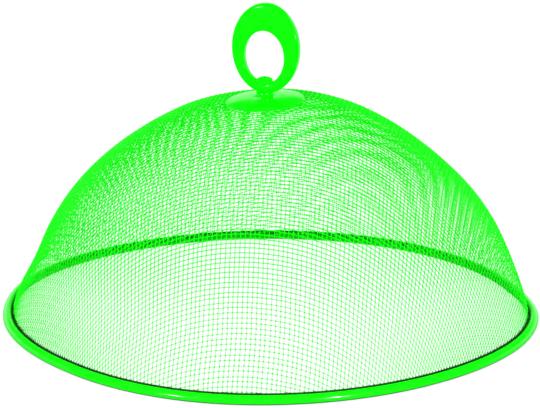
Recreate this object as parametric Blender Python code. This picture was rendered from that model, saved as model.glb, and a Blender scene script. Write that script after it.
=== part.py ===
"""Food cover: a wire-cloth dome with a rolled rim, a domed cap and an upright ring handle.

Metres, +Z up. The origin is on the table, under the middle of the rim. The ring's broad side
faces -Y, turned a little to one side, as it stands on the real cover.
"""

import math

import bmesh
import bpy
from mathutils import Vector

MM = 0.001

# Clearance kept between pieces that touch, and how far a cut runs past what it cuts.
SEAT_GAP = 0.3 * MM
CUT_OVERRUN = 2.0 * MM
MERGE_DISTANCE = 0.01 * MM

# Rim: a steel strip rolled into a bead round a hoop of wire, open at the top for the cloth. Its
# outer lip curls over the top, and its inner leg stands up beside the cloth.
RIM_DIAMETER = 350.0 * MM
BEAD_DIAMETER = 7.0 * MM
BEAD_FLATTENING = 0.2 * MM
STRIP_THICKNESS = 0.6 * MM
OUTER_LIP_ANGLE = math.radians(105.0)
INNER_LEG_HEIGHT = 7.0 * MM
HOOP_WIRE_DIAMETER = 3.2 * MM
HOOP_SEAT_ANGLE = math.radians(-30.0)

# Dome: woven wire cloth, as thick as two crossing wires.
CLOTH_THICKNESS = 0.8 * MM
CLOTH_FLARE = math.radians(18.5)
CROWN_HEIGHT = 149.4 * MM
# The cloth's own openings are about 3 mm wide. Here a plain grid of bars, thick as the cloth, stands
# for them: upright bars and level ones between a band at the edge and a patch under the cap.
GRID_BAR_WIDTH = 3.0 * MM
GRID_EDGE_BAND = 9.0 * MM
GRID_CROWN_RADIUS = 30.0 * MM
GRID_COLUMNS = 24
GRID_ROWS = 6
# The dome from the bead to the crown, as shares of its radius and of its rise.
PROFILE_RADIUS_SHARES = (1.0, 0.963, 0.920, 0.868, 0.794, 0.702, 0.595, 0.473, 0.340, 0.185, 0.0)
PROFILE_RISE_SHARES = (0.0, 0.13, 0.26, 0.39, 0.52, 0.64, 0.75, 0.85, 0.93, 0.98, 1.0)

# Handle stack: cap and collar. It stands a little to one side of the crown.
STACK_SHIFT = -4.2 * MM
CAP_DIAMETER = 51.0 * MM
CAP_THICKNESS = 1.0 * MM
CAP_HOLLOW = 0.5 * MM
CAP_SEAT_DIAMETER = 15.0 * MM
COLLAR_DIAMETER = 11.3 * MM
COLLAR_HEIGHT = 3.0 * MM

# Ring handle: a flat oval with an oval finger hole low in it, a little to one side.
RING_WIDTH = 45.6 * MM
RING_HEIGHT = 59.9 * MM
RING_THICKNESS = 7.0 * MM
RING_EDGE_RADIUS = 2.0 * MM
OVAL_SHIFT = 0.9 * MM
HOLE_WIDTH = 27.0 * MM
HOLE_HEIGHT = 35.1 * MM
BAR_HEIGHT = 6.4 * MM
FOOT_FLATTENING = 0.7 * MM
RING_YAW = math.radians(-18.0)

# Screw, washers and nut.
SCREW_DIAMETER = 5.0 * MM
SCREW_TIP_LENGTH = 1.5 * MM
SCREW_TIP_CHAMFER = 0.6 * MM
HEAD_DIAMETER = 10.5 * MM
HEAD_HEIGHT = 4.2 * MM
HEAD_CROWN_HEIGHT = 2.0 * MM
HEAD_SEAT_SINK = 0.4 * MM
RECESS_LENGTH = 5.2 * MM
RECESS_WIDTH = 1.4 * MM
RECESS_DEPTH = 2.2 * MM
BACKING_WASHER_DIAMETER = 18.0 * MM
BACKING_WASHER_THICKNESS = 1.0 * MM
LOCK_WASHER_DIAMETER = 9.2 * MM
LOCK_WASHER_THICKNESS = 1.2 * MM
LOCK_WASHER_SPLIT = math.radians(20.0)
NUT_WIDTH = 8.0 * MM
NUT_HEIGHT = 4.0 * MM
NUT_CHAMFER = 0.5 * MM

# Facets of the round forms, from the wide rim to the small screw.
COLUMN_FACETS = 3
RIM_FACETS = COLUMN_FACETS * GRID_COLUMNS
BEAD_FACETS = 24
WIRE_FACETS = 8
PROFILE_FACETS = 8
OPENING_FACETS = 3
CROWN_PATCH_FACETS = 3
CAP_FACETS = 40
CAP_CURVE_FACETS = 5
SMALL_FACETS = 20
RING_FACETS = 56
EDGE_FACETS = 3

# The bead's middle, in the plane of the rim's section.
BEAD_RADIUS = BEAD_DIAMETER / 2
BEAD_CENTRE = Vector((RIM_DIAMETER / 2 - BEAD_RADIUS, BEAD_RADIUS - BEAD_FLATTENING))

# The hoop lies against the inside of the bead, and the cloth's edge lies against the hoop.
HOOP_WIRE_RADIUS = HOOP_WIRE_DIAMETER / 2
HOOP_OFFSET = BEAD_RADIUS - STRIP_THICKNESS - SEAT_GAP - HOOP_WIRE_RADIUS
HOOP_CENTRE = BEAD_CENTRE + HOOP_OFFSET * Vector((math.cos(HOOP_SEAT_ANGLE), math.sin(HOOP_SEAT_ANGLE)))
CLOTH_OUTWARD = Vector((math.cos(CLOTH_FLARE), math.sin(CLOTH_FLARE)))
CLOTH_EDGE = HOOP_CENTRE - (HOOP_WIRE_RADIUS + SEAT_GAP + CLOTH_THICKNESS / 2) * CLOTH_OUTWARD

# The inner leg's top stands against the cloth, and the leg runs down from it to meet the bead's
# round on a tangent.
LEG_CLOTH = CLOTH_EDGE - (INNER_LEG_HEIGHT - CLOTH_EDGE.y) * Vector((math.tan(CLOTH_FLARE), -1))
LEG_TOP = LEG_CLOTH - (CLOTH_THICKNESS / 2 + SEAT_GAP + STRIP_THICKNESS) * CLOTH_OUTWARD
LEG_REACH = LEG_TOP - BEAD_CENTRE
LEG_TURN = math.atan2(LEG_REACH.y, LEG_REACH.x) + math.acos(BEAD_RADIUS / LEG_REACH.length) - math.tau
LEG_THROUGH = -STRIP_THICKNESS * Vector((math.cos(LEG_TURN), math.sin(LEG_TURN)))

# Where the cloth leaves the bead, and the curve of its crown.
CLOTH_START_HEIGHT = BEAD_DIAMETER - BEAD_FLATTENING
CLOTH_START_RADIUS = CLOTH_EDGE.x - (CLOTH_START_HEIGHT - CLOTH_EDGE.y) * math.tan(CLOTH_FLARE)
CLOTH_RISE = CROWN_HEIGHT - CLOTH_THICKNESS / 2 - CLOTH_START_HEIGHT
CROWN_PATCH_RADIUS = PROFILE_RADIUS_SHARES[-2] * CLOTH_START_RADIUS
CROWN_PATCH_DROP = (1 - PROFILE_RISE_SHARES[-2]) * CLOTH_RISE
CROWN_CURVE_RADIUS = CROWN_PATCH_RADIUS ** 2 / (2 * CROWN_PATCH_DROP)


def crown_drop(radius):
    """How far the crown of the dome falls away at this distance from its middle."""
    return radius ** 2 / (2 * CROWN_CURVE_RADIUS)


# Heights up the handle stack, each piece standing on the one below.
STACK_CROWN = CROWN_HEIGHT - crown_drop(STACK_SHIFT)
STACK_TILT = STACK_SHIFT / CROWN_CURVE_RADIUS
CAP_UNDERSIDE = STACK_CROWN + CAP_HOLLOW
CAP_TOP = CAP_UNDERSIDE + CAP_THICKNESS
COLLAR_BASE = CAP_TOP + SEAT_GAP
RING_BASE = COLLAR_BASE + COLLAR_HEIGHT + SEAT_GAP - FOOT_FLATTENING
HEAD_SEAT = BAR_HEIGHT - HEAD_SEAT_SINK
HEAD_BASE = RING_BASE + HEAD_SEAT + SEAT_GAP

# Heights down under the cloth, each piece hanging below the one above.
WASHER_RADIUS = BACKING_WASHER_DIAMETER / 2
WASHER_FALL = crown_drop(WASHER_RADIUS) + WASHER_RADIUS * abs(STACK_TILT)
WASHER_TOP = STACK_CROWN - CLOTH_THICKNESS - WASHER_FALL - SEAT_GAP
LOCK_WASHER_TOP = WASHER_TOP - BACKING_WASHER_THICKNESS - SEAT_GAP
NUT_TOP = LOCK_WASHER_TOP - LOCK_WASHER_THICKNESS - SEAT_GAP
SCREW_TIP = NUT_TOP - NUT_HEIGHT - SCREW_TIP_LENGTH

BORE_RADIUS = SCREW_DIAMETER / 2 + SEAT_GAP
PAINT_GREEN = (0.004, 0.91, 0.001)


def paint(name, colour, metallic, roughness):
    """A plain surface with the piece's colour and sheen."""
    material = bpy.data.materials.new(name)
    material.use_nodes = True
    surface = material.node_tree.nodes["Principled BSDF"]
    surface.inputs["Base Color"].default_value = (*colour, 1.0)
    surface.inputs["Metallic"].default_value = metallic
    surface.inputs["Roughness"].default_value = roughness
    return material


def add_object(name, bm, material=None):
    """Close the modelling of one piece and put it in the scene."""
    bmesh.ops.recalc_face_normals(bm, faces=bm.faces)
    mesh = bpy.data.meshes.new(name)
    bm.to_mesh(mesh)
    bm.free()
    mesh.shade_smooth()
    mesh.set_sharp_from_angle(angle=math.radians(35.0))
    obj = bpy.data.objects.new(name, mesh)
    bpy.context.scene.collection.objects.link(obj)
    if material:
        mesh.materials.append(material)
    return obj


def turned(name, outline, facets, material=None):
    """Spin a closed outline of (radius, height) points round the upright axis."""
    bm = bmesh.new()
    points = [bm.verts.new((radius, 0, height)) for radius, height in outline]
    edges = [bm.edges.new(pair) for pair in zip(points, points[1:] + points[:1])]
    bmesh.ops.spin(bm, geom=points + edges, axis=(0, 0, 1), cent=(0, 0, 0),
                   angle=math.tau, steps=facets, use_merge=True)
    on_axis = [vert for vert in bm.verts if vert.co.xy.length < MERGE_DISTANCE]
    bmesh.ops.remove_doubles(bm, verts=on_axis, dist=MERGE_DISTANCE)
    doubled = [edge for edge in bm.edges if not edge.link_faces]
    bmesh.ops.delete(bm, geom=doubled, context="EDGES")
    return add_object(name, bm, material)


def swept(name, sections, closed, material=None):
    """Join a row of equal sections into one body, as a loop or with an end at each side."""
    bm = bmesh.new()
    loops = [[bm.verts.new(point) for point in section] for section in sections]
    following = loops[1:] + loops[:1] if closed else loops[1:]
    for loop, after in zip(loops, following):
        for i, vert in enumerate(loop):
            bm.faces.new((loop[i - 1], vert, after[i], after[i - 1]))
    if not closed:
        bm.faces.new(loops[0])
        bm.faces.new(loops[-1])
    return add_object(name, bm, material)


def arc(centre, radius, start, end, steps):
    """Points along an arc in a section plane."""
    turn = (end - start) / steps
    return [centre + radius * Vector((math.cos(start + turn * i), math.sin(start + turn * i)))
            for i in range(steps + 1)]


def cut(obj, cutter):
    """Take the cutter's shape out of the object."""
    cutter.hide_render = True
    cutter.display_type = "WIRE"
    modifier = obj.modifiers.new(cutter.name, "BOOLEAN")
    modifier.operation = "DIFFERENCE"
    modifier.solver = "EXACT"
    modifier.object = cutter


def box_cutter(name, low, high):
    """A box between two corners."""
    bm = bmesh.new()
    bmesh.ops.create_cube(bm, size=1)
    low = Vector(low)
    high = Vector(high)
    for vert in bm.verts:
        share = vert.co + Vector((1, 1, 1)) / 2
        vert.co = low + Vector(a * b for a, b in zip(share, high - low))
    return add_object(name, bm)


def rod_cutter(name, radius, base, top):
    """An upright rod on the object's own axis."""
    return turned(name, [(0, base), (radius, base), (radius, top), (0, top)], SMALL_FACETS)


def rim_strip(material):
    """The rolled strip: round outside, flattened where it stands, open for the cloth."""
    flat = math.acos(BEAD_CENTRE.y / BEAD_RADIUS)
    down = -math.pi / 2
    outside = arc(BEAD_CENTRE, BEAD_RADIUS, OUTER_LIP_ANGLE, down + flat, BEAD_FACETS // 2)
    outside += arc(BEAD_CENTRE, BEAD_RADIUS, down - flat, LEG_TURN, BEAD_FACETS // 4)
    inside = arc(BEAD_CENTRE, BEAD_RADIUS - STRIP_THICKNESS, LEG_TURN, OUTER_LIP_ANGLE,
                 BEAD_FACETS // 2)
    leg = [LEG_TOP, LEG_TOP + LEG_THROUGH]
    return turned("rim_strip", outside + leg + inside, RIM_FACETS, material)


def rim_hoop_wire(material):
    """The hoop of wire inside the bead."""
    section = arc(HOOP_CENTRE, HOOP_WIRE_RADIUS, 0, math.tau, WIRE_FACETS)[:-1]
    return turned("rim_hoop_wire", section, RIM_FACETS, material)


def dome_profile():
    """The middle of the cloth from its edge in the bead to the crown, as a smooth curve."""
    knots = [Vector((radius * CLOTH_START_RADIUS, CLOTH_START_HEIGHT + rise * CLOTH_RISE))
             for radius, rise in zip(PROFILE_RADIUS_SHARES, PROFILE_RISE_SHARES)]
    past_crown = Vector((-knots[-2].x, knots[-2].y))
    knots = [CLOTH_EDGE] + knots + [past_crown]
    curve = [CLOTH_EDGE]
    for before, start, end, after in zip(knots, knots[1:], knots[2:], knots[3:]):
        for i in range(PROFILE_FACETS):
            t = i / PROFILE_FACETS
            curve.append(0.5 * (2 * start + (end - before) * t
                                + (2 * before - 5 * start + 4 * end - after) * t ** 2
                                + (3 * start - before - 3 * end + after) * t ** 3))
    return curve + [knots[-2]]


def profile_at(curve, run):
    """The point this far along the dome's curve, and the way that the curve runs there."""
    for start, end in zip(curve, curve[1:]):
        step = end - start
        if run <= step.length:
            return start + step.normalized() * run, step.normalized()
        run -= step.length
    return curve[-1], Vector((-1, 0))


def grid_runs(curve):
    """How far up the curve each level edge of the grid is, and whether openings start there."""
    lengths = [(end - start).length for start, end in zip(curve, curve[1:])]
    whole = sum(lengths)
    patch = whole
    for point, length in zip(reversed(curve[:-1]), reversed(lengths)):
        if point.x > GRID_CROWN_RADIUS:
            break
        patch -= length
    bars = (GRID_ROWS - 1) * GRID_BAR_WIDTH
    opening = (patch - GRID_EDGE_BAND - bars) / GRID_ROWS
    runs = [(0, False), ((CLOTH_START_HEIGHT - CLOTH_EDGE.y) / math.cos(CLOTH_FLARE), False)]
    for row in range(GRID_ROWS):
        foot = GRID_EDGE_BAND + row * (opening + GRID_BAR_WIDTH)
        runs += [(foot + opening * i / OPENING_FACETS, True) for i in range(OPENING_FACETS)]
        runs.append((foot + opening, False))
    runs += [(patch + (whole - patch) * i / CROWN_PATCH_FACETS, False)
             for i in range(1, CROWN_PATCH_FACETS)]
    return runs


def grid_turns(radius):
    """The turns of the upright edges round one level: a bar's two sides, then its opening's."""
    half_bar = math.asin(GRID_BAR_WIDTH / 2 / max(radius, GRID_CROWN_RADIUS))
    turns = []
    for facet in range(RIM_FACETS):
        middle = facet * math.tau / RIM_FACETS
        turns += [middle] if facet % COLUMN_FACETS else [middle - half_bar, middle + half_bar]
    return turns


def mesh_dome(material):
    """The cloth as a thin open-bottomed grid, with a hole for the screw."""
    bm = bmesh.new()
    curve = dome_profile()
    runs = grid_runs(curve)
    skins = ([], [])
    for run, _ in runs:
        point, along = profile_at(curve, run)
        outward = Vector((along.y, -along.x)) * CLOTH_THICKNESS / 2
        for skin, place in zip(skins, (point + outward, point - outward)):
            skin.append([bm.verts.new((place.x * math.cos(turn), place.x * math.sin(turn), place.y))
                         for turn in grid_turns(point.x)])
    outer, inner = skins
    upright = len(outer[0])
    solid = [[not opens or side % (COLUMN_FACETS + 1) == 0 for side in range(upright)]
             for _, opens in runs[:-1]]
    for level, row in enumerate(solid):
        for side, filled in enumerate(row):
            after = (side + 1) % upright
            if filled:
                for skin in skins:
                    bm.faces.new((skin[level][side], skin[level][after],
                                  skin[level + 1][after], skin[level + 1][side]))
            if filled != (level > 0 and solid[level - 1][side]):
                bm.faces.new((outer[level][side], outer[level][after],
                              inner[level][after], inner[level][side]))
            if filled != row[side - 1]:
                bm.faces.new((outer[level][side], outer[level + 1][side],
                              inner[level + 1][side], inner[level][side]))
    for skin, height in zip(skins, (CROWN_HEIGHT, CROWN_HEIGHT - CLOTH_THICKNESS)):
        crown = bm.verts.new((0, 0, height))
        for side in range(upright):
            bm.faces.new((skin[-1][side], skin[-1][(side + 1) % upright], crown))
    dome = add_object("mesh_dome", bm, material)
    hole = rod_cutter("mesh_dome_hole_cutter", BORE_RADIUS, CROWN_HEIGHT - CROWN_PATCH_DROP,
                      CROWN_HEIGHT + CUT_OVERRUN)
    hole.location.x = STACK_SHIFT
    cut(dome, hole)
    return dome


def cap_plate(material):
    """The pressed disc: flat under the collar, then curving down to its edge."""
    radius = CAP_DIAMETER / 2
    seat = CAP_SEAT_DIAMETER / 2
    fall = crown_drop(radius) + CAP_HOLLOW - SEAT_GAP
    curve = []
    for i in range(CAP_CURVE_FACETS + 1):
        share = i / CAP_CURVE_FACETS
        curve.append(Vector((seat + (radius - seat) * share, -fall * share ** 2)))
    underside = [Vector((BORE_RADIUS, 0))] + curve
    top = [point + Vector((0, CAP_THICKNESS)) for point in underside]
    cap = turned("cap_plate", underside + top[::-1], CAP_FACETS, material)
    cap.location = (STACK_SHIFT, 0, CAP_UNDERSIDE)
    cap.rotation_euler.y = STACK_TILT
    return cap


def washer(name, diameter, thickness, base, facets, material):
    """A flat round plate with the screw's clearance hole."""
    radius = diameter / 2
    outline = [(BORE_RADIUS, 0), (radius, 0), (radius, thickness), (BORE_RADIUS, thickness)]
    plate = turned(name, outline, facets, material)
    plate.location = (STACK_SHIFT, 0, base)
    return plate


def ring_sections():
    """Sections round the ring, each a rectangle with rounded corners across the band."""
    outer_centre = Vector((OVAL_SHIFT, RING_HEIGHT / 2))
    hole_centre = Vector((0, BAR_HEIGHT + HOLE_HEIGHT / 2))
    sections = []
    for i in range(RING_FACETS):
        turn = math.tau * i / RING_FACETS
        round_by = Vector((math.cos(turn), math.sin(turn)))
        outer = outer_centre + Vector((round_by.x * RING_WIDTH, round_by.y * RING_HEIGHT)) / 2
        inner = hole_centre + Vector((round_by.x * HOLE_WIDTH, round_by.y * HOLE_HEIGHT)) / 2
        band = (outer - inner).length
        across = (outer - inner) / band
        edge = min(RING_EDGE_RADIUS, RING_THICKNESS / 3, band / 3)
        half_band = band / 2 - edge
        half_depth = RING_THICKNESS / 2 - edge
        middle = (outer + inner) / 2
        section = []
        for corner, (side, depth) in enumerate(((1, 1), (-1, 1), (-1, -1), (1, -1))):
            start = corner * math.pi / 2
            corner_centre = Vector((side * half_band, depth * half_depth))
            for along, deep in arc(corner_centre, edge, start, start + math.pi / 2, EDGE_FACETS):
                place = middle + across * along
                section.append((place.x, deep, place.y))
        sections.append(section)
    return sections


def handle_ring(material):
    """The oval ring: flat foot, a seat for the screw's head, and a bore through its bar."""
    ring = swept("handle_ring", ring_sections(), True, material)
    ring.location = (STACK_SHIFT, 0, RING_BASE)
    ring.rotation_euler.z = RING_YAW
    foot = box_cutter("handle_ring_foot_cutter", (-RING_WIDTH, -RING_THICKNESS, -CUT_OVERRUN),
                      (RING_WIDTH, RING_THICKNESS, FOOT_FLATTENING))
    seat = rod_cutter("handle_ring_seat_cutter", HEAD_DIAMETER / 2 + SEAT_GAP, HEAD_SEAT,
                      HEAD_SEAT + HEAD_HEIGHT + CUT_OVERRUN)
    bore = rod_cutter("handle_ring_bore_cutter", BORE_RADIUS, -CUT_OVERRUN, BAR_HEIGHT + CUT_OVERRUN)
    for cutter in (foot, seat, bore):
        cutter.parent = ring
        cut(ring, cutter)
    return ring


def handle_screw(material):
    """The pan-head screw, with a cross recess in its domed head."""
    shank = SCREW_DIAMETER / 2
    head = HEAD_DIAMETER / 2
    shoulder = HEAD_BASE + HEAD_HEIGHT - HEAD_CROWN_HEIGHT
    outline = [Vector((0, SCREW_TIP)), Vector((shank - SCREW_TIP_CHAMFER, SCREW_TIP)),
               Vector((shank, SCREW_TIP + SCREW_TIP_CHAMFER)), Vector((shank, HEAD_BASE)),
               Vector((head, HEAD_BASE))]
    for point in arc(Vector((0, 0)), 1, 0, math.pi / 2, CAP_CURVE_FACETS):
        outline.append(Vector((head * point.x, shoulder + HEAD_CROWN_HEIGHT * point.y)))
    outline[-1].x = 0
    screw = turned("handle_screw", outline, SMALL_FACETS, material)
    screw.location.x = STACK_SHIFT
    floor = HEAD_BASE + HEAD_HEIGHT - RECESS_DEPTH
    top = HEAD_BASE + HEAD_HEIGHT + CUT_OVERRUN
    for name, length, width in (("handle_screw_slot_cutter", RECESS_LENGTH, RECESS_WIDTH),
                                ("handle_screw_cross_cutter", RECESS_WIDTH, RECESS_LENGTH)):
        cutter = box_cutter(name, (-length / 2, -width / 2, floor), (length / 2, width / 2, top))
        cutter.parent = screw
        cut(screw, cutter)
    return screw


def lock_washer(material):
    """The split spring washer, pressed flat."""
    outer = LOCK_WASHER_DIAMETER / 2
    sections = []
    for i in range(SMALL_FACETS + 1):
        turn = LOCK_WASHER_SPLIT / 2 + (math.tau - LOCK_WASHER_SPLIT) * i / SMALL_FACETS
        sections.append([(radius * math.cos(turn), radius * math.sin(turn), height)
                         for radius, height in ((BORE_RADIUS, 0), (outer, 0),
                                                (outer, LOCK_WASHER_THICKNESS),
                                                (BORE_RADIUS, LOCK_WASHER_THICKNESS))])
    split = swept("lock_washer", sections, False, material)
    split.location = (STACK_SHIFT, 0, LOCK_WASHER_TOP - LOCK_WASHER_THICKNESS)
    return split


def screw_nut(material):
    """The hexagon nut, its corners chamfered top and bottom."""
    corner = NUT_WIDTH / 2 / math.cos(math.pi / 6)
    outline = [(0, 0), (corner - NUT_CHAMFER, 0), (corner, NUT_CHAMFER),
               (corner, NUT_HEIGHT - NUT_CHAMFER), (corner - NUT_CHAMFER, NUT_HEIGHT),
               (0, NUT_HEIGHT)]
    nut = turned("screw_nut", outline, 6, material)
    nut.location = (STACK_SHIFT, 0, NUT_TOP - NUT_HEIGHT)
    bore = rod_cutter("screw_nut_bore_cutter", BORE_RADIUS, -CUT_OVERRUN, NUT_HEIGHT + CUT_OVERRUN)
    bore.parent = nut
    cut(nut, bore)
    return nut


for old in list(bpy.data.objects):
    bpy.data.objects.remove(old, do_unlink=True)

cloth_paint = paint("cloth_paint", PAINT_GREEN, 0.0, 0.35)
rim_paint = paint("rim_paint", PAINT_GREEN, 0.0, 0.2)
cap_paint = paint("cap_paint", PAINT_GREEN, 0.0, 0.15)
ring_paint = paint("ring_paint", PAINT_GREEN, 0.0, 0.2)
screw_paint = paint("screw_paint", PAINT_GREEN, 0.0, 0.25)
zinc_plate = paint("zinc_plate", (0.6, 0.6, 0.62), 1.0, 0.35)

rim_strip(rim_paint)
rim_hoop_wire(zinc_plate)
mesh_dome(cloth_paint)
cap_plate(cap_paint)
washer("handle_collar", COLLAR_DIAMETER, COLLAR_HEIGHT, COLLAR_BASE, SMALL_FACETS, cap_paint)
handle_ring(ring_paint)
handle_screw(screw_paint)
washer("backing_washer", BACKING_WASHER_DIAMETER, BACKING_WASHER_THICKNESS,
       WASHER_TOP - BACKING_WASHER_THICKNESS, SMALL_FACETS, zinc_plate)
lock_washer(zinc_plate)
screw_nut(zinc_plate)
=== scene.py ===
import math
import random

import bmesh
import bpy
import numpy as np
from mathutils import Matrix, Vector


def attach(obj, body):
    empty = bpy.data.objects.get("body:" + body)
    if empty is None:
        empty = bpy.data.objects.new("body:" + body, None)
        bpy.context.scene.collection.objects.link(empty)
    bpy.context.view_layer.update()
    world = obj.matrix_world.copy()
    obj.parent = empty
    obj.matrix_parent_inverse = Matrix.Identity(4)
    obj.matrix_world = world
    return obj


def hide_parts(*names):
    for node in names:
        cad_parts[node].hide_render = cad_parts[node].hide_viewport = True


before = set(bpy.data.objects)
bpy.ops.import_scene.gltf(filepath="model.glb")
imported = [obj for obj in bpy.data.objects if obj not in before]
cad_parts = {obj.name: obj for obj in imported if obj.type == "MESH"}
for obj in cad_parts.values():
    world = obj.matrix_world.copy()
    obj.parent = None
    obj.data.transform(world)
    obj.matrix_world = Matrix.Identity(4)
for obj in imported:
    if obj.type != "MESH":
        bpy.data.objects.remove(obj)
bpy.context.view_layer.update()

scene = bpy.context.scene
MM = 0.001

# Camera
# A long lens a little above the cover's level, square to its front. It is aimed at a point on the
# dome's axis and dipped a touch, which lifts the cover in the frame.
EYE_DISTANCE = 2.774
EYE_ELEVATION = math.radians(16.73)
EYE_SIDE = -0.8 * MM
AIM_HEIGHT = 90 * MM
AIM_DIP = math.radians(0.242)
FOCAL_PIXELS = 4236
FRAME_WIDTH_PIXELS = 540
SENSOR_WIDTH = 36.0

lens = bpy.data.cameras.new("camera")
lens.sensor_width = SENSOR_WIDTH
lens.lens = FOCAL_PIXELS * SENSOR_WIDTH / FRAME_WIDTH_PIXELS
lens.clip_start = 0.1
lens.clip_end = 50.0
camera = bpy.data.objects.new("camera", lens)
camera.location = (EYE_SIDE, -EYE_DISTANCE * math.cos(EYE_ELEVATION),
                   AIM_HEIGHT + EYE_DISTANCE * math.sin(EYE_ELEVATION))
camera.rotation_euler = (math.pi / 2 - EYE_ELEVATION - AIM_DIP, 0, 0)
scene.collection.objects.link(camera)
scene.camera = camera
scene.view_settings.view_transform = "Standard"


# Studio
# Two tall softboxes stand in front at either side and draw the short streaks on the rim. A pale
# room lights everything evenly, and its far wall is the white that the gloss picks up.
SOFTBOX_SIZE = (0.09, 0.22)
SOFTBOX_DISTANCE = 1.6
SOFTBOX_POWER = 13.0
SOFTBOX_AIM = Vector((0, 0, 0.08))
SOFTBOX_ELEVATION = math.radians(8)
LEFT_SOFTBOX_TURN = math.radians(-40)
RIGHT_SOFTBOX_TURN = math.radians(31)


def softbox(name, turn):
    """A tall lamp on a stand, at a turn to the right of the front, aimed at the cover."""
    light = bpy.data.lights.new(name, "AREA")
    light.shape = "RECTANGLE"
    light.size, light.size_y = SOFTBOX_SIZE
    light.energy = SOFTBOX_POWER
    lamp = bpy.data.objects.new(name, light)
    away = Vector((math.sin(turn) * math.cos(SOFTBOX_ELEVATION),
                   -math.cos(turn) * math.cos(SOFTBOX_ELEVATION), math.sin(SOFTBOX_ELEVATION)))
    lamp.location = SOFTBOX_AIM + SOFTBOX_DISTANCE * away
    lamp.rotation_euler = away.to_track_quat("Z", "Y").to_euler()
    scene.collection.objects.link(lamp)


softbox("softbox_left", LEFT_SOFTBOX_TURN)
softbox("softbox_right", RIGHT_SOFTBOX_TURN)


class Wiring:
    """Adds nodes to one tree and joins them."""

    def __init__(self, tree):
        self.tree = tree

    def add(self, kind, inputs=(), **settings):
        node = self.tree.nodes.new("ShaderNode" + kind)
        for key, value in settings.items():
            setattr(node, key, value)
        for socket, value in dict(inputs).items():
            if isinstance(value, bpy.types.NodeSocket):
                self.tree.links.new(value, node.inputs[socket])
            else:
                node.inputs[socket].default_value = value
        return node

    def math(self, operation, *values):
        return self.add("Math", dict(enumerate(values)), operation=operation).outputs[0]

    def ramp(self, value, start, end, low, high):
        """Goes smoothly from low to high as the value goes from start to end."""
        spread = {"Value": value, "From Min": start, "From Max": end, "To Min": low, "To Max": high}
        return self.add("MapRange", spread, interpolation_type="SMOOTHSTEP").outputs["Result"]


WORLD_FILL = 1.2
WORLD_GLOSS_FRONT = 0.03
WORLD_GLOSS_BACK = 1.0
FAR_WALL_START = (0.05, 0.35)
FAR_WALL_TOP = (0.24, 0.34)

world = bpy.data.worlds.new("studio")
scene.world = world
world.use_nodes = True
world.node_tree.nodes.clear()
room = Wiring(world.node_tree)
ray = room.add("LightPath")
towards = room.add("SeparateXYZ", {0: room.add("TexCoord").outputs["Generated"]})
behind = room.ramp(towards.outputs["Y"], *FAR_WALL_START, 0.0, 1.0)
low_down = room.ramp(towards.outputs["Z"], *FAR_WALL_TOP, 1.0, 0.0)
far_wall = room.math("MULTIPLY", behind, low_down)
gloss = room.ramp(far_wall, 0.0, 1.0, WORLD_GLOSS_FRONT, WORLD_GLOSS_BACK)
seen = room.math("MAXIMUM", ray.outputs["Is Camera Ray"], ray.outputs["Is Transmission Ray"])
fill_or_gloss = room.add("Mix", {0: ray.outputs["Is Glossy Ray"], 2: WORLD_FILL, 3: gloss})
strength = room.add("Mix", {0: seen, 2: fill_or_gloss.outputs[0], 3: 1.0})
light_out = room.add("Background", {"Color": (1, 1, 1, 1), "Strength": strength.outputs[0]})
room.add("OutputWorld", {"Surface": light_out.outputs[0]})


# Table
# A plain white sheet under the cover. Most of its white is its own and shows to the camera alone,
# so it throws no extra light on the cover, and its matt share takes the cover's soft shadow. The
# gloss of the paint sees it white towards the back only.
TABLE_HALF_WIDTH = 6.0
TABLE_MATT = 0.18
TABLE_MATT_SEEN = 0.25
TABLE_OWN_WHITE = 0.80
TABLE_GLOSS = 0.6
TABLE_GLOSS_PLACES = (-0.1, 0.3)

table_mesh = bpy.data.meshes.new("table")
table_corners = [(x * TABLE_HALF_WIDTH, y * TABLE_HALF_WIDTH, 0)
                 for x, y in ((-1, -1), (1, -1), (1, 1), (-1, 1))]
table_mesh.from_pydata(table_corners, [], [(0, 1, 2, 3)])
table = bpy.data.objects.new("table", table_mesh)
scene.collection.objects.link(table)
table_white = bpy.data.materials.new("table_white")
table_white.use_nodes = True
table_white.node_tree.nodes.clear()
sheet = Wiring(table_white.node_tree)
table_ray = sheet.add("LightPath")
spot = sheet.add("TexCoord").outputs["Object"]
matt_white = sheet.add("Mix", {0: table_ray.outputs["Is Camera Ray"], 2: TABLE_MATT, 3: TABLE_MATT_SEEN})
matt = sheet.add("BsdfDiffuse", {"Color": matt_white.outputs[0]})
seen_white = sheet.math("MULTIPLY", table_ray.outputs["Is Camera Ray"], TABLE_OWN_WHITE)
how_far_back = sheet.add("SeparateXYZ", {0: spot}).outputs["Y"]
gloss_behind = sheet.ramp(how_far_back, *TABLE_GLOSS_PLACES, 0.0, TABLE_GLOSS)
gloss_white = sheet.math("MULTIPLY", table_ray.outputs["Is Glossy Ray"], gloss_behind)
own_white = sheet.add("Emission", {"Strength": sheet.math("ADD", seen_white, gloss_white)})
both = sheet.add("AddShader", {0: matt.outputs[0], 1: own_white.outputs[0]})
sheet.add("OutputMaterial", {"Surface": both.outputs[0]})
table_mesh.materials.append(table_white)


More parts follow.
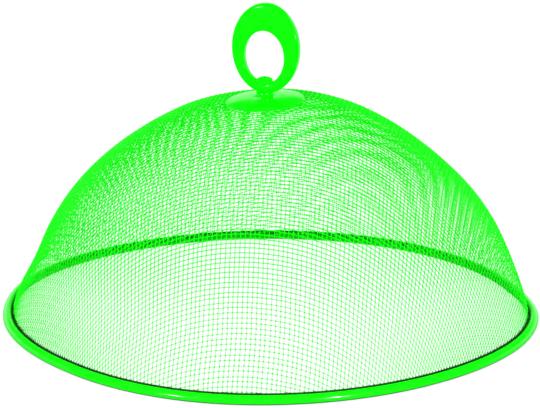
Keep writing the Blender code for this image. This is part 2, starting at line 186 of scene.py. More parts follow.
# Wire cloth
# The dome is one disc of plain-woven steel wire, pressed over a round former and powder coated.
# Each wire keeps its length, so the square openings lean into diamonds between the four straight
# ways. The wires run down into the rolled rim.
CLOTH_EDGE = (170.185, 2.070)
CLOTH_START = (168.602, 6.800)
CROWN_MIDDLE = 149.0
RADIUS_SHARES = (1.0, 0.963, 0.920, 0.869, 0.797, 0.706, 0.600, 0.479, 0.348, 0.192, 0.0)
RISE_SHARES = (0.0, 0.13, 0.26, 0.39, 0.52, 0.64, 0.75, 0.85, 0.93, 0.98, 1.0)
KNOT_STEPS = 40
EDGE_OVERRUN = 9.0
WARP_GAP = 3.03
WEFT_GAP = 3.25
LONGEST_WIRE = 252.0
CLOTH_TURN = math.radians(-6.3)
CLOTH_PHASE = (0.06, -0.21)
LOW_WIRE = (0.24, 0.32)
HIGH_WIRE = (0.32, 0.65)
WIRE_HEIGHTS = (35.0, 80.0)
CRIMP = 0.25
WIRE_STRAY = 0.035
STRAY_SEED = 7
SETTLE_ROUNDS = 10
WEB_REACH = 0.75
ROLL_WEB_REACH = 1.5
ROLL_WEB_HEIGHTS = (4.8, 6.4)
WEB_DEPTH = 0.32
SCREW_AXIS = (-4.2, 0.0)
SCREW_HOLE_RADIUS = 2.8


def former_curve():
    """Radius and height from the crown out to the cloth's edge and a little past it, in mm."""
    rise = CROWN_MIDDLE - CLOTH_START[1]
    knots = [np.array((share * CLOTH_START[0], CLOTH_START[1] + up * rise))
             for share, up in zip(RADIUS_SHARES, RISE_SHARES)]
    knots = [np.array(CLOTH_EDGE)] + knots + [knots[-2] * (-1, 1)]
    curve = []
    for before, start, end, after in zip(knots, knots[1:], knots[2:], knots[3:]):
        for t in np.arange(KNOT_STEPS) / KNOT_STEPS:
            curve.append(0.5 * (2 * start + (end - before) * t
                                + (2 * before - 5 * start + 4 * end - after) * t ** 2
                                + (3 * start - before - 3 * end + after) * t ** 3))
    flare = knots[0] - knots[1]
    past_edge = knots[0] + flare / np.linalg.norm(flare) * EDGE_OVERRUN
    return np.array([past_edge, knots[0]] + curve + [knots[-2]])[::-1].T


former_radius, former_height = former_curve()
former_slope = np.gradient(former_height, former_radius)
former_run = np.concatenate([[0], np.cumsum(np.hypot(np.diff(former_radius), np.diff(former_height)))])


def quarter_cloth():
    """Where the wires cross in one quarter, each crossing one gap from the two before it.

    It starts from the two wires that pass over the crown and works outwards in slanting rows.
    """
    warps = int(LONGEST_WIRE / WARP_GAP)
    wefts = int(LONGEST_WIRE / WEFT_GAP)
    cross = np.full((warps, wefts, 3), np.nan)
    for i in range(warps):
        radius = np.interp(i * WARP_GAP, former_run, former_radius)
        cross[i, 0] = (radius, 0, np.interp(radius, former_radius, former_height))
    for j in range(wefts):
        radius = np.interp(j * WEFT_GAP, former_run, former_radius)
        cross[0, j] = (0, radius, np.interp(radius, former_radius, former_height))
    for row in range(2, warps + wefts - 1):
        i = np.arange(max(1, row - wefts + 1), min(warps, row))
        j = row - i
        beside, behind, corner = cross[i - 1, j], cross[i, j - 1], cross[i - 1, j - 1]
        laid = np.isfinite((beside + behind + corner)[:, 0])
        i, j, beside, behind, corner = i[laid], j[laid], beside[laid], behind[laid], corner[laid]
        place = (beside + behind - corner)[:, :2]
        for _ in range(SETTLE_ROUNDS):
            radius = np.hypot(*place.T)
            height = np.interp(radius, former_radius, former_height)
            slope = place.T * np.interp(radius, former_radius, former_slope) / radius
            here = np.column_stack([place, height])
            to_beside, to_behind = here - beside, here - behind
            miss_a = (to_beside ** 2).sum(1) - WARP_GAP ** 2
            miss_b = (to_behind ** 2).sum(1) - WEFT_GAP ** 2
            a_x, a_y = 2 * (to_beside[:, :2].T + to_beside[:, 2] * slope)
            b_x, b_y = 2 * (to_behind[:, :2].T + to_behind[:, 2] * slope)
            spread = a_x * b_y - a_y * b_x
            place[:, 0] -= (b_y * miss_a - a_y * miss_b) / spread
            place[:, 1] -= (a_x * miss_b - b_x * miss_a) / spread
        radius = np.hypot(*place.T)
        kept = radius < CLOTH_EDGE[0] + EDGE_OVERRUN / 2
        height = np.interp(radius, former_radius, former_height)
        cross[i[kept], j[kept]] = np.column_stack([place, height])[kept]
    return cross


def whole_cloth():
    """The quarter set out four times round the crown, with the wires strayed a little."""
    quarter = quarter_cloth()
    warps, wefts = quarter.shape[:2]
    cross = np.full((2 * warps - 1, 2 * wefts - 1, 3), np.nan)
    for side in (1, -1):
        for end in (1, -1):
            rows = warps - 1 + side * np.arange(warps)
            columns = wefts - 1 + end * np.arange(wefts)
            cross[np.ix_(rows, columns)] = quarter * (side, end, 1)
    stray = random.Random(STRAY_SEED)
    warp_stray = np.array([CLOTH_PHASE[0] + stray.gauss(0, WIRE_STRAY) for _ in range(2 * warps - 1)])
    weft_stray = np.array([CLOTH_PHASE[1] + stray.gauss(0, WIRE_STRAY) for _ in range(2 * wefts - 1)])
    ahead = np.full_like(cross, np.nan)
    along = np.full_like(cross, np.nan)
    ahead[1:-1] = (cross[2:] - cross[:-2]) / 2
    along[:, 1:-1] = (cross[:, 2:] - cross[:, :-2]) / 2
    cross = cross + np.nan_to_num(ahead) * warp_stray[:, None, None]
    return cross + np.nan_to_num(along) * weft_stray[None, :, None]


# How far the pressed cover is out of true, in mm: the lean of the cloth to the right by height,
# the rim's out-of-round by degrees of turn from the front, and the tilt of the crown under the cap.
LEAN = ((0, 0.0), (8, 0.1), (30, 1.1), (44, 1.35), (57, 1.15), (71, 0.9), (85, 0.4), (98, -0.15),
        (112, -0.2), (119, 0.1), (126, 0.2), (133, 0.4), (150, 0.2))
OUT_OF_ROUND = ((-180, 0.0), (-150, 0.6), (-120, 4.3), (-110, 4.4), (-100, 3.3), (-90, 2.2), (-80, 1.4),
                (-70, 0.0), (-60, -1.0), (-50, -1.3), (-40, 0.2), (-30, 1.8), (-20, 2.9), (-10, 3.0),
                (0, 1.9), (10, 0.5), (20, -1.0), (30, -2.2), (40, -2.8), (50, -2.4), (60, -1.1), (70, 0.5),
                (80, 1.2), (85, 1.6), (90, 1.1), (95, -0.1), (100, -1.3), (108, -2.6), (120, -2.0),
                (150, 0.0), (180, 0.0))
OUT_OF_ROUND_FADE = (8.0, 42.0)
OUT_OF_ROUND_BLUR = 15
CROWN_TILT = math.radians(2.7)
CROWN_TILT_RADII = (26.0, 62.0)
CROWN_TILT_FLOOR = 100


def fade(values, start, end):
    """One up to the start, then smoothly down to nothing at the end."""
    share = np.clip((values - start) / (end - start), 0, 1)
    return 1 - share * share * (3 - 2 * share)


def as_it_stands(points):
    """Move points of the true shape, in mm, to where the pressed cover really has them."""
    points = np.array(points, dtype=float)
    x, y, z = points.T
    radius = np.hypot(x, y)
    turn = np.degrees(np.arctan2(x, -y))
    turns, swells = np.array(OUT_OF_ROUND).T
    fine_turns = np.linspace(-180, 180, 361)
    blur = np.hanning(OUT_OF_ROUND_BLUR) / np.hanning(OUT_OF_ROUND_BLUR).sum()
    fine_swells = np.interp(fine_turns, turns, swells)
    fine_swells = np.convolve(np.pad(fine_swells, OUT_OF_ROUND_BLUR // 2, mode="edge"), blur, "valid")
    swell = np.interp(turn, fine_turns, fine_swells) * fade(z, *OUT_OF_ROUND_FADE)
    grown = 1 + swell / np.maximum(radius, 1)
    heights, leans = np.array(LEAN).T
    from_stack = np.hypot(x - SCREW_AXIS[0], y - SCREW_AXIS[1])
    tilt = fade(from_stack, *CROWN_TILT_RADII) * (z > CROWN_TILT_FLOOR)
    points[:, 0] = x * grown + np.interp(z, heights, leans)
    points[:, 1] = y * grown
    points[:, 2] = z + tilt * (x - SCREW_AXIS[0]) * math.tan(CROWN_TILT)
    return points


# How far the roll's inner leg holds the cloth's edge inwards, by height, in mm.
ROLL_PRESS = ((0.0, 2.6), (2.1, 2.3), (4.5, 1.5), (6.8, 0.8), (12.0, 0.3), (20.0, 0.0))


def pressed_in(points):
    """Move points of the cloth, in mm, in to where the roll holds them."""
    points = np.array(points, dtype=float)
    heights, presses = np.array(ROLL_PRESS).T
    radius = np.hypot(points[:, 0], points[:, 1])
    share = 1 - np.interp(points[:, 2], heights, presses) / np.maximum(radius, 1)
    points[:, :2] *= share[:, None]
    return points


CUT_STEPS = 12
NEAR_SCREW_RADIUS = 3 * SCREW_HOLE_RADIUS


def from_screw(point):
    """How far a point is from the screw's axis, in mm."""
    return math.hypot(point[0] - SCREW_AXIS[0], point[1] - SCREW_AXIS[1])


def on_the_cloth(point):
    """Whether a point is inside the cloth's edge and clear of the screw's hole."""
    return math.hypot(point[0], point[1]) < CLOTH_EDGE[0] and from_screw(point) > SCREW_HOLE_RADIUS


def cut_wire(points, outward):
    """The lengths of one wire that are on the cloth, each a list of places and ways out."""
    lengths = []
    piece = []
    for start, end, out_start, out_end in zip(points, points[1:], outward, outward[1:]):
        if not (np.isfinite(start[0]) and np.isfinite(end[0])):
            continue
        near_screw = from_screw(start) < NEAR_SCREW_RADIUS
        steps = CUT_STEPS if near_screw or not (on_the_cloth(start) and on_the_cloth(end)) else 1
        for step in range(steps):
            share = step / steps
            point = start + (end - start) * share
            after = start + (end - start) * (step + 1) / steps
            if not on_the_cloth(point):
                if len(piece) > 1:
                    lengths.append(piece)
                piece = []
            elif steps == 1 or not piece or step == 0 or not on_the_cloth(after):
                piece.append((point, out_start + (out_end - out_start) * share))
    if len(piece) > 1:
        lengths.append(piece)
    return lengths


def coated_size(heights):
    """Width and depth of a coated wire, in mm: nearly round low down, and deeper up the dome."""
    return np.array(HIGH_WIRE) + np.subtract(LOW_WIRE, HIGH_WIRE) * fade(heights, *WIRE_HEIGHTS)[:, None]


def drawn_wires(name, lengths, material):
    """Coated wires along their points, all in one mesh."""
    verts = []
    faces = []
    corners = np.array(((1, 1), (-1, 1), (-1, -1), (1, -1)))
    sides = len(corners)
    for length in lengths:
        places = np.array([place for place, _ in length])
        outward = np.array([out for _, out in length])
        ahead = np.gradient(places, axis=0)
        ahead /= np.linalg.norm(ahead, axis=1)[:, None]
        side = np.cross(ahead, outward)
        side /= np.linalg.norm(side, axis=1)[:, None]
        up = np.cross(side, ahead)
        first = len(verts)
        half = corners * coated_size(places[:, 2])[:, None] / 2
        coated = places[:, None] + half[..., :1] * side[:, None] + half[..., 1:] * up[:, None]
        verts.extend(coated.reshape(-1, 3) * MM)
        for i in range(len(length) - 1):
            for k in range(sides):
                a = first + i * sides + k
                b = first + i * sides + (k + 1) % sides
                faces.append((a, b, b + sides, a + sides))
        faces.append(tuple(first + k for k in reversed(range(sides))))
        last = first + (len(length) - 1) * sides
        faces.append(tuple(last + k for k in range(sides)))
    mesh = bpy.data.meshes.new(name)
    mesh.from_pydata(verts, [], faces)
    mesh.shade_smooth()
    mesh.materials.append(material)
    obj = bpy.data.objects.new(name, mesh)
    scene.collection.objects.link(obj)
    return obj


PAINT_GREEN = (0.002, 0.95, 0.001)
DEEPER_SHARE = 0.88
# A dark green of painted shade, used low in the roll and along the bead's foot.
PAINTED_SHADE_GREEN = (0.0008, 0.12, 0.0008)
ROLL_SHADE_HEIGHTS = (6.5 * MM, 7.5 * MM)


def green_paint(name, roughness, gloss, grain, grain_depth, painted_darkening=None):
    """Green gloss paint over steel: a little deeper in places, with the fine ripple of its coat.

    Where a darkening share is given, that much of the colour turns to a dark green of painted shade.
    """
    material = bpy.data.materials.new(name)
    material.use_nodes = True
    material.node_tree.nodes.clear()
    coat = Wiring(material.node_tree)
    where = coat.add("TexCoord").outputs["Object"]
    cloud = coat.add("TexNoise", {"Vector": where, "Scale": 60.0, "Detail": 3.0})
    shade = coat.ramp(cloud.outputs["Fac"], 0.3, 0.7, 0.94, 1.0)
    deeper = [DEEPER_SHARE * part for part in PAINT_GREEN]
    tint = coat.add("Mix", {6: (*deeper, 1), 7: (*PAINT_GREEN, 1), 0: shade}, data_type="RGBA")
    # Painted shade: the mask's share of the colour goes to the dark green.
    if painted_darkening:
        tint = coat.add("Mix", {0: painted_darkening(coat), 6: tint.outputs[2], 7: (*PAINTED_SHADE_GREEN, 1)}, data_type="RGBA")
    ripple = coat.add("TexNoise", {"Vector": where, "Scale": grain, "Detail": 2.0})
    relief = coat.add("Bump", {"Height": ripple.outputs["Fac"], "Strength": 0.2, "Distance": grain_depth})
    wear = coat.ramp(ripple.outputs["Fac"], 0.35, 0.65, roughness * 0.85, roughness * 1.2)
    surface = coat.add("BsdfPrincipled", {"Base Color": tint.outputs[2], "Roughness": wear,
                                          "Specular IOR Level": gloss, "Normal": relief.outputs[0]})
    coat.add("OutputMaterial", {"Surface": surface.outputs[0]})
    return material


def low_and_outward(coat, heights):
    """One where a point is below the first height and faces away from the dome's axis."""
    at = coat.add("TexCoord")
    height = coat.add("SeparateXYZ", {0: at.outputs["Object"]}).outputs["Z"]
    level = coat.add("VectorMath", {0: at.outputs["Object"], 1: (1, 1, 0)}, operation="MULTIPLY")
    outward = coat.add("VectorMath", {0: level.outputs[0]}, operation="NORMALIZE")
    facing = coat.add("VectorMath", {0: at.outputs["Normal"], 1: outward.outputs[0]}, operation="DOT_PRODUCT")
    low = coat.ramp(height, *heights, 1.0, 0.0)
    return coat.math("MULTIPLY", low, coat.ramp(facing.outputs["Value"], -0.2, 0.2, 0.0, 1.0))


def roll_shade_share(coat):
    """How far a point is down in the roll and faces its closed side, where the wires get painted shade."""
    return low_and_outward(coat, ROLL_SHADE_HEIGHTS)


# The wires' outward sides low in the roll get painted shade.
cloth_paint = green_paint("cloth_paint", 0.38, 0.12, 1800.0, 0.02 * MM, roll_shade_share)
crossings = whole_cloth()
crossing_radius = np.hypot(crossings[..., 0], crossings[..., 1])
crossing_slope = np.interp(crossing_radius, former_radius, former_slope)
away = crossings[..., :2] / np.maximum(crossing_radius, 1e-6)[..., None]
crossing_outward = np.concatenate([-crossing_slope[..., None] * away, np.ones_like(away[..., :1])], axis=-1)
crossing_outward /= np.linalg.norm(crossing_outward, axis=-1)[..., None]
over = np.where(np.add.outer(np.arange(crossings.shape[0]), np.arange(crossings.shape[1])) % 2, 1, -1)
crimp = (over * CRIMP)[..., None] * crossing_outward
cloth_spin = np.array([[math.cos(CLOTH_TURN), math.sin(CLOTH_TURN), 0],
                       [-math.sin(CLOTH_TURN), math.cos(CLOTH_TURN), 0], [0, 0, 1]])

for name, cross, outward in (
        ("warp_wires", crossings + crimp, crossing_outward),
        ("weft_wires", (crossings - crimp).transpose(1, 0, 2), crossing_outward.transpose(1, 0, 2))):
    lengths = []
    for points, out in zip(cross @ cloth_spin, outward @ cloth_spin):
        for length in cut_wire(points, out):
            standing = as_it_stands(pressed_in([place for place, _ in length]))
            lengths.append([(place, out_there) for place, (_, out_there) in zip(standing, length)])
    wires = drawn_wires(name, lengths, cloth_paint)
    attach(wires, "cover")
    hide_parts("mesh_dome")

# The powder coat runs together in the corners where two wires cross, as a thin four-pointed web.
# Down in the roll, where the coat gathers, the webs are larger.
web_verts = []
web_faces = []
side_ways = np.full_like(crossings, np.nan)
end_ways = np.full_like(crossings, np.nan)
side_ways[1:-1] = crossings[2:] - crossings[:-2]
end_ways[:, 1:-1] = crossings[:, 2:] - crossings[:, :-2]
for middle, out, side_way, end_way in zip(*(grid.reshape(-1, 3) @ cloth_spin for grid in (
        crossings, crossing_outward, side_ways, end_ways))):
    clear_of_hole = from_screw(middle) - SCREW_HOLE_RADIUS >= WEB_REACH
    clear_of_edge = math.hypot(middle[0], middle[1]) <= CLOTH_EDGE[0] - WEB_REACH
    if not (np.isfinite(side_way[0] + end_way[0]) and clear_of_hole and clear_of_edge):
        continue
    reach = WEB_REACH + (ROLL_WEB_REACH - WEB_REACH) * float(fade(middle[2], *ROLL_WEB_HEIGHTS))
    side_way = side_way / np.linalg.norm(side_way) * reach
    end_way = end_way / np.linalg.norm(end_way) * reach
    web = [middle + side_way, middle + end_way, middle - side_way, middle - end_way,
           middle + out * WEB_DEPTH, middle - out * WEB_DEPTH]
    first = len(web_verts)
    web_verts.extend(web)
    for k in range(4):
        after = (k + 1) % 4
        web_faces.append((first + k, first + after, first + 4))
        web_faces.append((first + after, first + k, first + 5))
web_mesh = bpy.data.meshes.new("coat_webs")
web_mesh.from_pydata(as_it_stands(pressed_in(web_verts)) * MM, [], web_faces)
web_mesh.shade_smooth()
web_mesh.materials.append(cloth_paint)
webs = bpy.data.objects.new("coat_webs", web_mesh)
scene.collection.objects.link(webs)
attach(webs, "cover")
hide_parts("mesh_dome")


# Rim
# A strip of steel rolled into a bead round the cloth's edge and its hoop. The outer lip curls over
# the top, and the inner leg stands up close outside the cloth. The roll is painted green outside,
# with a painted shadow along its foot. Its dark inside and the darker greens on its lip, its leg and
# the leg's edge are painted shade.
BEAD_CENTRE = (171.5, 3.1)
STRIP_THICKNESS = 0.6
STRIP_MIDDLE_RADII = (3.2, 2.8)
LIP_TURN = math.radians(124)
# How many sides at the lip's end get painted shade.
LIP_SHADE_STEPS = 2
LEG_TURN = math.radians(-148)
LEG_TOP = (168.75, 6.45)
STRIP_ARC_STEPS = 40
STRIP_END_STEPS = 4
LEG_STEPS = 4
# How many sides at the leg's top edge get the darkest painted shade.
LEG_EDGE_SHADE_STEPS = 2
RIM_STEPS = 288
# The strip's faces: green paint, then four darker greens of painted shade.
PAINTED, ROLL_SHADED, LEG_SHADED, LIP_SHADED, LEG_EDGE_SHADED = range(5)


def strip_section():
    """The outline of the rolled strip, in mm, with rounded edges, and the paint or painted shade of each
    side.
    """
    middle = []
    for i in range(STRIP_ARC_STEPS + 1):
        turn = LIP_TURN + (LEG_TURN - LIP_TURN) * i / STRIP_ARC_STEPS
        middle.append(np.array(BEAD_CENTRE) + np.array(STRIP_MIDDLE_RADII) * (math.cos(turn), math.sin(turn)))
    leg_foot = middle[-1]
    leg_top = np.array(LEG_TOP)
    middle += [leg_foot + (leg_top - leg_foot) * i / LEG_STEPS for i in range(1, LEG_STEPS + 1)]
    middle = np.array(middle)
    ahead = np.gradient(middle, axis=0)
    ahead /= np.linalg.norm(ahead, axis=1)[:, None]
    outward = np.column_stack([-ahead[:, 1], ahead[:, 0]])
    half = STRIP_THICKNESS / 2
    outside = middle + half * outward
    inside = middle - half * outward
    outline = list(outside)
    for i in range(1, STRIP_END_STEPS):
        turn = math.pi * i / STRIP_END_STEPS
        outline.append(middle[-1] + half * (math.cos(turn) * outward[-1] + math.sin(turn) * ahead[-1]))
    outline += list(inside[::-1])
    for i in range(1, STRIP_END_STEPS):
        turn = math.pi * i / STRIP_END_STEPS
        outline.append(middle[0] + half * (-math.cos(turn) * outward[0] - math.sin(turn) * ahead[0]))
    outline = np.array(outline)
    outline[:, 1] = np.maximum(outline[:, 1], 0)
    # The lip's end, the leg and its top edge, and the inside of the roll get painted shade.
    paint_or_shade = [LIP_SHADED] * LIP_SHADE_STEPS + [PAINTED] * (len(outline) - LIP_SHADE_STEPS)
    for i in range(len(outside) - LEG_STEPS - 1, len(outside)):
        paint_or_shade[i] = LEG_SHADED
    for i in range(len(outside) - 1 - LEG_EDGE_SHADE_STEPS, len(outside) - 1):
        paint_or_shade[i] = LEG_EDGE_SHADED
    for i in range(len(outside) - 1, len(outline) - STRIP_END_STEPS // 2):
        paint_or_shade[i] = ROLL_SHADED
    return outline, paint_or_shade


def spun(name, outline, steps, materials, paint_or_shade=None, shape=None):
    """Turn a closed outline of (radius, height) in mm round the upright axis."""
    verts = []
    for i in range(steps):
        turn = math.tau * i / steps
        verts += [(radius * math.cos(turn), radius * math.sin(turn), height) for radius, height in outline]
    if shape:
        verts = shape(verts)
    count = len(outline)
    faces = []
    for i in range(steps):
        here = i * count
        after = (i + 1) % steps * count
        faces += [(here + k, after + k, after + (k + 1) % count, here + (k + 1) % count)
                  for k in range(count)]
    mesh = bpy.data.meshes.new(name)
    mesh.from_pydata([tuple(np.array(vert) * MM) for vert in verts], [], faces)
    mesh.shade_smooth()
    for material in materials:
        mesh.materials.append(material)
    if paint_or_shade:
        mesh.polygons.foreach_set("material_index", paint_or_shade * steps)
    bm = bmesh.new()
    bm.from_mesh(mesh)
    bmesh.ops.recalc_face_normals(bm, faces=bm.faces)
    bm.to_mesh(mesh)
    bm.free()
    obj = bpy.data.objects.new(name, mesh)
    scene.collection.objects.link(obj)
    return obj


def shade_green_coat(name, darker_green, lighter_green):
    """A dull green of painted shade on the strip, cloudy between its two given greens."""
    material = bpy.data.materials.new(name)
    material.use_nodes = True
    material.node_tree.nodes.clear()
    shade_nodes = Wiring(material.node_tree)
    cloud = shade_nodes.add("TexNoise", {"Vector": shade_nodes.add("TexCoord").outputs["Object"], "Scale": 180.0})
    colour = shade_nodes.add("Mix", {0: cloud.outputs["Fac"], 6: (*darker_green, 1), 7: (*lighter_green, 1)}, data_type="RGBA")
    surface = shade_nodes.add("BsdfPrincipled", {"Base Color": colour.outputs[2], "Roughness": 0.7,
                                          "Specular IOR Level": 0.1})
    shade_nodes.add("OutputMaterial", {"Surface": surface.outputs[0]})
    return material


# A painted shadow along the outside of the bead's foot, where it stands on the table.
FOOT_SHADOW_HEIGHTS = (1.0 * MM, 2.0 * MM)
FOOT_SHADOW_SHARE = 0.8


def foot_shadow_share(coat):
    """How far a point is down and outward where the bead stands on the table, which gets a painted shadow."""
    return coat.math("MULTIPLY", low_and_outward(coat, FOOT_SHADOW_HEIGHTS), FOOT_SHADOW_SHARE)


# The rim's paint takes the painted shadow low on the outside of its foot.
rim_paint = green_paint("rim_paint", 0.14, 0.42, 300.0, 0.03 * MM, foot_shadow_share)
# Painted shade: the dark inside of the roll, and darker greens on the leg, the lip and the leg's edge.
roll_painted_shade = shade_green_coat("roll_painted_shade", (0.0003, 0.004, 0.0003), (0.0005, 0.12, 0.0005))
leg_painted_shade = shade_green_coat("leg_painted_shade", (0.001, 0.35, 0.001), (0.001, 1.0, 0.001))
lip_painted_shade = shade_green_coat("lip_painted_shade", (0.001, 0.50, 0.001), (0.001, 0.80, 0.001))
leg_edge_painted_shade = shade_green_coat("leg_edge_painted_shade", (0.001, 0.0, 0.001), (0.001, 0.45, 0.001))
section, section_paint_or_shade = strip_section()
rim_paint_and_shades = [rim_paint, roll_painted_shade, leg_painted_shade, lip_painted_shade, leg_edge_painted_shade]
bead = spun("rim_bead", section, RIM_STEPS, rim_paint_and_shades, section_paint_or_shade, as_it_stands)
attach(bead, "cover")
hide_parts("rim_strip")


# Hoop
# A ring of drawn steel wire in the bead, which the cloth's edge lies against. It is zinc plated
# and only shows down in the slot of the roll.
HOOP_CENTRE = (172.366, 2.8)
HOOP_RADIUS = 1.6
HOOP_SIDES = 16


def zinc_plate_finish(name, stretch):
    """Zinc plating over steel: grey, with drawn or turned streaks and paler crystals."""
    material = bpy.data.materials.new(name)
    material.use_nodes = True
    material.node_tree.nodes.clear()
    plate = Wiring(material.node_tree)
    where = plate.add("TexCoord").outputs["Object"]
    drawn = plate.add("Mapping", {"Vector": where, "Scale": stretch})
    crystal = plate.add("TexNoise", {"Vector": where, "Scale": 700.0, "Detail": 3.0})
    streak = plate.add("TexNoise", {"Vector": drawn.outputs[0], "Scale": 900.0, "Detail": 2.0})
    tint = plate.add("Mix", {0: crystal.outputs["Fac"], 6: (0.50, 0.51, 0.53, 1), 7: (0.70, 0.70, 0.72, 1)},
                     data_type="RGBA")
    rough = plate.ramp(streak.outputs["Fac"], 0.3, 0.7, 0.28, 0.48)
    relief = plate.add("Bump", {"Height": streak.outputs["Fac"], "Strength": 0.3, "Distance": 0.02 * MM})
    surface = plate.add("BsdfPrincipled", {"Base Color": tint.outputs[2], "Roughness": rough, "Metallic": 1.0,
                                           "Normal": relief.outputs[0]})
    plate.add("OutputMaterial", {"Surface": surface.outputs[0]})
    return material


zinc_plate = zinc_plate_finish("zinc_plate", (1, 1, 8))
hoop_section = [(HOOP_CENTRE[0] + HOOP_RADIUS * math.cos(math.tau * i / HOOP_SIDES),
                 HOOP_CENTRE[1] + HOOP_RADIUS * math.sin(math.tau * i / HOOP_SIDES))
                for i in range(HOOP_SIDES)]
hoop = spun("rim_hoop", hoop_section, RIM_STEPS, [zinc_plate], shape=as_it_stands)
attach(hoop, "cover")
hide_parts("rim_hoop_wire")


# Cap
# A pressed steel disc that spreads the handle's pull over the cloth. It is flat under the collar
# and bends down to its edge, which is rounded over, and it lies on the crown's slope.
CAP_RADIUS = 25.5
CAP_SEAT_RADIUS = 7.5
CAP_THICKNESS = 1.0
CAP_UNDERSIDE = 149.85
CAP_FALL = 2.10
CAP_TILT = math.radians(-1.407) - CROWN_TILT
CAP_CURVE_STEPS = 16
CAP_EDGE_STEPS = 8
CAP_STEPS = 128


def cap_outline():
    """The disc's section: bore, seat, the bend down, and the rounded edge."""
    half = CAP_THICKNESS / 2
    middle = [np.array((SCREW_HOLE_RADIUS, half))]
    for i in range(CAP_CURVE_STEPS + 1):
        share = i / CAP_CURVE_STEPS
        radius = CAP_SEAT_RADIUS + (CAP_RADIUS - half - CAP_SEAT_RADIUS) * share
        middle.append(np.array((radius, half - CAP_FALL * share ** 2)))
    top = [point + (0, half) for point in middle]
    under = [point - (0, half) for point in middle]
    edge = [middle[-1] + half * np.array((math.sin(turn), math.cos(turn)))
            for turn in np.linspace(0, math.pi, CAP_EDGE_STEPS + 1)[1:-1]]
    return top + edge + under[::-1]


def on_the_stack(height, tilt=0.0, turn=0.0):
    """A shaper that sets a turned piece on the handle's axis, tilted and turned."""
    place = Matrix.Rotation(turn, 4, "Z") @ Matrix.Rotation(tilt, 4, "Y")
    return lambda points: [Vector((*SCREW_AXIS, height)) + place @ Vector(point) for point in points]


cap_paint = green_paint("cap_paint", 0.12, 0.12, 160.0, 0.02 * MM)
cap = spun("handle_cap", cap_outline(), CAP_STEPS, [cap_paint], shape=on_the_stack(CAP_UNDERSIDE, CAP_TILT))
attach(cap, "cover")
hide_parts("cap_plate")


# Collar
# A short turned spacer on the cap that lifts the ring clear of it, its edges just broken.
COLLAR_RADIUS = 5.65
COLLAR_HEIGHT = 3.42
COLLAR_BASE = 151.0
COLLAR_STEPS = 64
EDGE_BREAK = 0.25


def spacer_outline(bore, radius, thickness, edge_break):
    """A short tube's section with its corners broken, the outer two in two steps."""
    return [(bore + edge_break, 0), (radius - edge_break, 0), (radius - edge_break / 3, edge_break / 3),
            (radius, edge_break), (radius, thickness - edge_break),
            (radius - edge_break / 3, thickness - edge_break / 3), (radius - edge_break, thickness),
            (bore + edge_break, thickness), (bore, thickness - edge_break), (bore, edge_break)]


collar_section = spacer_outline(SCREW_HOLE_RADIUS, COLLAR_RADIUS, COLLAR_HEIGHT, EDGE_BREAK)
collar = spun("handle_spacer", collar_section, COLLAR_STEPS, [cap_paint], shape=on_the_stack(COLLAR_BASE))
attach(collar, "cover")
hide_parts("handle_collar")


# Ring
# The handle is a flat cast oval with an oval finger hole low in it. Its edges are rounded, its foot
# is flat where it stands on the collar, and the screw goes down through its bar.
RING_WIDTH = 45.6
RING_HEIGHT = 59.9
RING_THICKNESS = 7.0
RING_EDGE_RADIUS = 2.0
RING_BASE = 153.75
OVAL_SHIFT = 0.9
HOLE_WIDTH = 27.0
HOLE_HEIGHT = 35.1
BAR_HEIGHT = 6.4
FOOT_FLATTENING = 0.7
HEAD_SEAT = 6.0
HEAD_SEAT_RADIUS = 5.55
RING_YAW = math.radians(-18)
RING_STEPS = 192
RING_EDGE_STEPS = 7
CUTTER_STEPS = 96
CUT_OVERRUN = 5
FOOT_CUTTER_RADIUS = 40
SEAT_CUT_HEIGHT = 8
BORE_OVERRUN = 3
PIN_HOLE_RADIUS = 0.001
SHARP_ANGLE = math.radians(35)


def ring_mesh():
    """The oval ring round its own foot, in mm, as a loop of rounded sections."""
    verts = []
    for i in range(RING_STEPS):
        turn = math.tau * i / RING_STEPS
        way = np.array((math.cos(turn), math.sin(turn)))
        outer = np.array((OVAL_SHIFT, RING_HEIGHT / 2)) + way * (RING_WIDTH / 2, RING_HEIGHT / 2)
        inner = np.array((0, BAR_HEIGHT + HOLE_HEIGHT / 2)) + way * (HOLE_WIDTH / 2, HOLE_HEIGHT / 2)
        band = np.linalg.norm(outer - inner)
        across = (outer - inner) / band
        round_off = min(RING_EDGE_RADIUS, band / 3)
        half_band = band / 2 - round_off
        half_depth = RING_THICKNESS / 2 - round_off
        for corner, (side, depth) in enumerate(((1, 1), (-1, 1), (-1, -1), (1, -1))):
            for k in range(RING_EDGE_STEPS + 1):
                bend = (corner + k / RING_EDGE_STEPS) * math.pi / 2
                place = (outer + inner) / 2 + across * (side * half_band + round_off * math.cos(bend))
                verts.append((place[0], depth * half_depth + round_off * math.sin(bend), place[1]))
    count = 4 * (RING_EDGE_STEPS + 1)
    faces = []
    for i in range(RING_STEPS):
        here = i * count
        after = (i + 1) % RING_STEPS * count
        faces += [(here + k, here + (k + 1) % count, after + (k + 1) % count, after + k)
                  for k in range(count)]
    return verts, faces


def cut_away(obj, cutter):
    """Take the cutter's shape out of a piece for good."""
    modifier = obj.modifiers.new("cut", "BOOLEAN")
    modifier.operation = "DIFFERENCE"
    modifier.solver = "EXACT"
    modifier.object = cutter
    bpy.context.view_layer.update()
    shape = bpy.data.meshes.new_from_object(obj.evaluated_get(bpy.context.evaluated_depsgraph_get()))
    obj.modifiers.clear()
    obj.data = shape
    bpy.data.objects.remove(cutter, do_unlink=True)


def rod_outline(radius, base, top):
    """A rod's section, solid but for a hole too small to see."""
    return [(PIN_HOLE_RADIUS, base), (radius, base), (radius, top), (PIN_HOLE_RADIUS, top)]


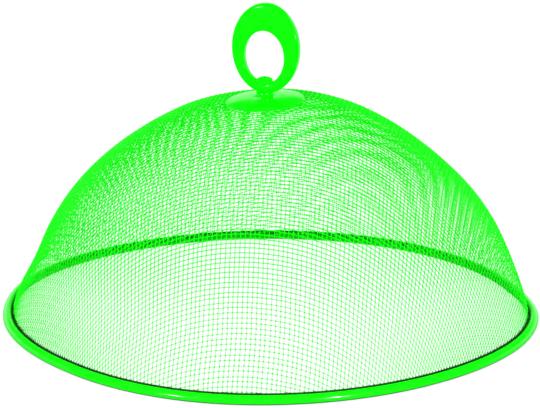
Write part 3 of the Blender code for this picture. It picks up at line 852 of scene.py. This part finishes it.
ring_paint = green_paint("ring_paint", 0.1, 0.10, 90.0, 0.03 * MM)
ring_verts, ring_faces = ring_mesh()
ring_data = bpy.data.meshes.new("oval_ring")
stand_ring = on_the_stack(RING_BASE, turn=RING_YAW)
ring_data.from_pydata([point * MM for point in stand_ring(ring_verts)], [], ring_faces)
ring_data.materials.append(ring_paint)
bm = bmesh.new()
bm.from_mesh(ring_data)
bmesh.ops.recalc_face_normals(bm, faces=bm.faces)
bm.to_mesh(ring_data)
bm.free()
ring = bpy.data.objects.new("oval_ring", ring_data)
scene.collection.objects.link(ring)
for cutter_name, outline in (
        ("foot", rod_outline(FOOT_CUTTER_RADIUS, -CUT_OVERRUN, FOOT_FLATTENING)),
        ("seat", rod_outline(HEAD_SEAT_RADIUS, HEAD_SEAT, HEAD_SEAT + SEAT_CUT_HEIGHT)),
        ("bore", rod_outline(SCREW_HOLE_RADIUS, -CUT_OVERRUN, BAR_HEIGHT + BORE_OVERRUN))):
    cut_away(ring, spun(cutter_name, outline, CUTTER_STEPS, [ring_paint], shape=on_the_stack(RING_BASE)))
ring.data.shade_smooth()
ring.data.set_sharp_from_angle(angle=SHARP_ANGLE)
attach(ring, "ring")
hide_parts("handle_ring")


# Screw
# A pan-head machine screw holds the stack together. Its domed head with a cross recess is painted
# over with the ring, and its shank runs down through the cloth.
SHANK_RADIUS = 2.5
HEAD_RADIUS = 5.25
HEAD_HEIGHT = 4.48
HEAD_CROWN = 2.0
HEAD_CROWN_STEPS = 12
HEAD_EDGE_BREAK = 0.2
HEAD_BASE = 159.77
SCREW_TIP = 139.49
TIP_CHAMFER = 0.6
RECESS_LENGTH = 5.2
RECESS_WIDTH = 1.4
RECESS_DEPTH = 2.2
RECESS_FLOOR_SHARE = 0.72
RECESS_MOUTH_SHARE = 1.12
RECESS_OVERRUN = 0.6
SCREW_STEPS = 64
SCREW_SHARP_ANGLE = math.radians(30)

screw_paint = green_paint("screw_paint", 0.2, 0.06, 400.0, 0.02 * MM)
screw_outline = [(PIN_HOLE_RADIUS, SCREW_TIP), (SHANK_RADIUS - TIP_CHAMFER, SCREW_TIP),
                 (SHANK_RADIUS, SCREW_TIP + TIP_CHAMFER), (SHANK_RADIUS, HEAD_BASE),
                 (HEAD_RADIUS - HEAD_EDGE_BREAK, HEAD_BASE), (HEAD_RADIUS, HEAD_BASE + HEAD_EDGE_BREAK)]
for i in range(HEAD_CROWN_STEPS + 1):
    turn = i / HEAD_CROWN_STEPS * math.pi / 2
    screw_outline.append((max(HEAD_RADIUS * math.cos(turn), PIN_HOLE_RADIUS),
                          HEAD_BASE + HEAD_HEIGHT - HEAD_CROWN + HEAD_CROWN * math.sin(turn)))
screw = spun("pan_head_screw", screw_outline, SCREW_STEPS, [screw_paint], shape=on_the_stack(0))


def recess_arm(length, width):
    """A tapering bar that cuts one arm of the cross recess."""
    bm = bmesh.new()
    bmesh.ops.create_cube(bm, size=1)
    for vert in bm.verts:
        share = RECESS_FLOOR_SHARE if vert.co.z < 0 else RECESS_MOUTH_SHARE
        rise = -RECESS_DEPTH if vert.co.z < 0 else RECESS_OVERRUN
        vert.co = Vector((vert.co.x * length * share, vert.co.y * width * share,
                          HEAD_BASE + HEAD_HEIGHT + rise))
        vert.co = (vert.co + Vector((*SCREW_AXIS, 0))) * MM
    mesh = bpy.data.meshes.new("recess")
    bm.to_mesh(mesh)
    bm.free()
    cutter = bpy.data.objects.new("recess", mesh)
    scene.collection.objects.link(cutter)
    return cutter


cut_away(screw, recess_arm(RECESS_LENGTH, RECESS_WIDTH))
cut_away(screw, recess_arm(RECESS_WIDTH, RECESS_LENGTH))
screw.data.shade_smooth()
screw.data.set_sharp_from_angle(angle=SCREW_SHARP_ANGLE)
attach(screw, "cover")
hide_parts("handle_screw")


# Washers and nut
# Under the crown a plain washer backs the cloth, a split spring washer keeps the nut from working
# loose, and a hexagon nut draws the stack tight. All three are zinc plated.
for node in ("backing_washer", "lock_washer", "screw_nut"):
    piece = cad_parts[node]
    piece.data.materials.clear()
    piece.data.materials.append(zinc_plate)
